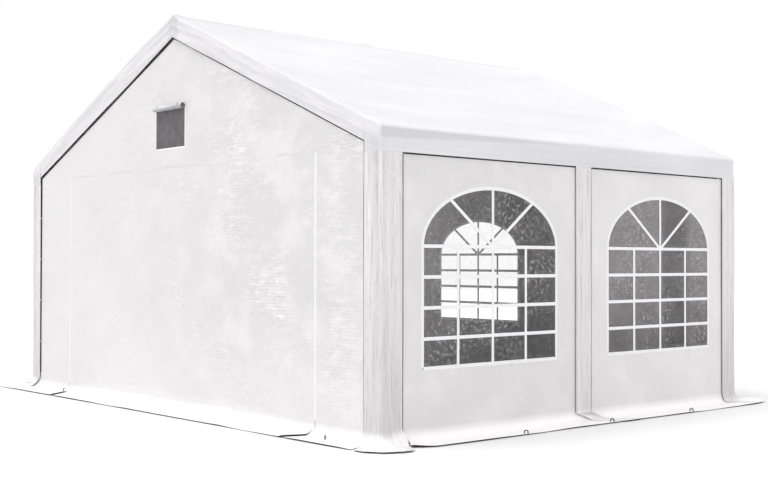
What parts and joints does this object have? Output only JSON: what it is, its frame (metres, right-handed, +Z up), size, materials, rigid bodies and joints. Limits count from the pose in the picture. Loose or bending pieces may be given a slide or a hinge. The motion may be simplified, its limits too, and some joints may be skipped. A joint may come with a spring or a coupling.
{
  "type": "marquee tent",
  "caption": "Gable-roofed party tent: a steel tube frame under a white woven cover, with arched windows in the side walls, zip doors and vents in the gable ends.",
  "frame": {"origin": "centre of the footprint, on the ground", "axes": "+Z up; the ridge runs along Y; the front gable faces -Y and the right side wall +X"},
  "size_m": [5.3556, 4.3056, 3.1638],
  "materials": {
    "galvanised_steel": "dull zinc",
    "connector_steel": "dull zinc, welded",
    "white_sheet": "woven polyethylene sheet, satin",
    "clear_film": "soft clear vinyl film",
    "insect_mesh": "open net"
  },
  "bodies": {
    "root": {"corner_strip_back_left": "white_sheet", "corner_strip_back_right": "white_sheet", "corner_strip_front_left": "white_sheet", "corner_strip_front_right": "white_sheet", "eave_connector_back_left": "connector_steel", "eave_connector_back_right": "connector_steel", "eave_connector_front_left": "connector_steel", "eave_connector_front_right": "connector_steel", "eave_connector_middle_left": "connector_steel", "eave_connector_middle_right": "connector_steel", "eave_tube_back_left": "galvanised_steel", "eave_tube_back_right": "galvanised_steel", "eave_tube_front_left": "galvanised_steel", "eave_tube_front_right": "galvanised_steel", "gable_wall_back": "white_sheet", "gable_wall_front": "white_sheet", "middle_strip_left": "white_sheet", "middle_strip_right": "white_sheet", "post_back_left": "galvanised_steel", "post_back_right": "galvanised_steel", "post_front_left": "galvanised_steel", "post_front_right": "galvanised_steel", "post_middle_left": "galvanised_steel", "post_middle_right": "galvanised_steel", "rafter_back_left": "galvanised_steel", "rafter_back_right": "galvanised_steel", "rafter_front_left": "galvanised_steel", "rafter_front_right": "galvanised_steel", "rafter_middle_left": "galvanised_steel", "rafter_middle_right": "galvanised_steel", "ridge_connector_back": "connector_steel", "ridge_connector_front": "connector_steel", "ridge_connector_middle": "connector_steel", "ridge_tube_back": "galvanised_steel", "ridge_tube_front": "galvanised_steel", "roof_cover": "white_sheet", "side_wall_back_left": "white_sheet", "side_wall_back_right": "white_sheet", "side_wall_front_left": "white_sheet", "side_wall_front_right": "white_sheet", "vent_roll_back": "white_sheet", "vent_roll_front": "white_sheet", "vent_screen_back": "insect_mesh", "vent_screen_front": "insect_mesh", "window_film_back_door": "clear_film", "window_film_back_left": "clear_film", "window_film_back_right": "clear_film", "window_film_front_left": "clear_film", "window_film_front_right": "clear_film", "zip_door_back": "white_sheet", "zip_door_front": "white_sheet"}
  },
  "joints": []
}
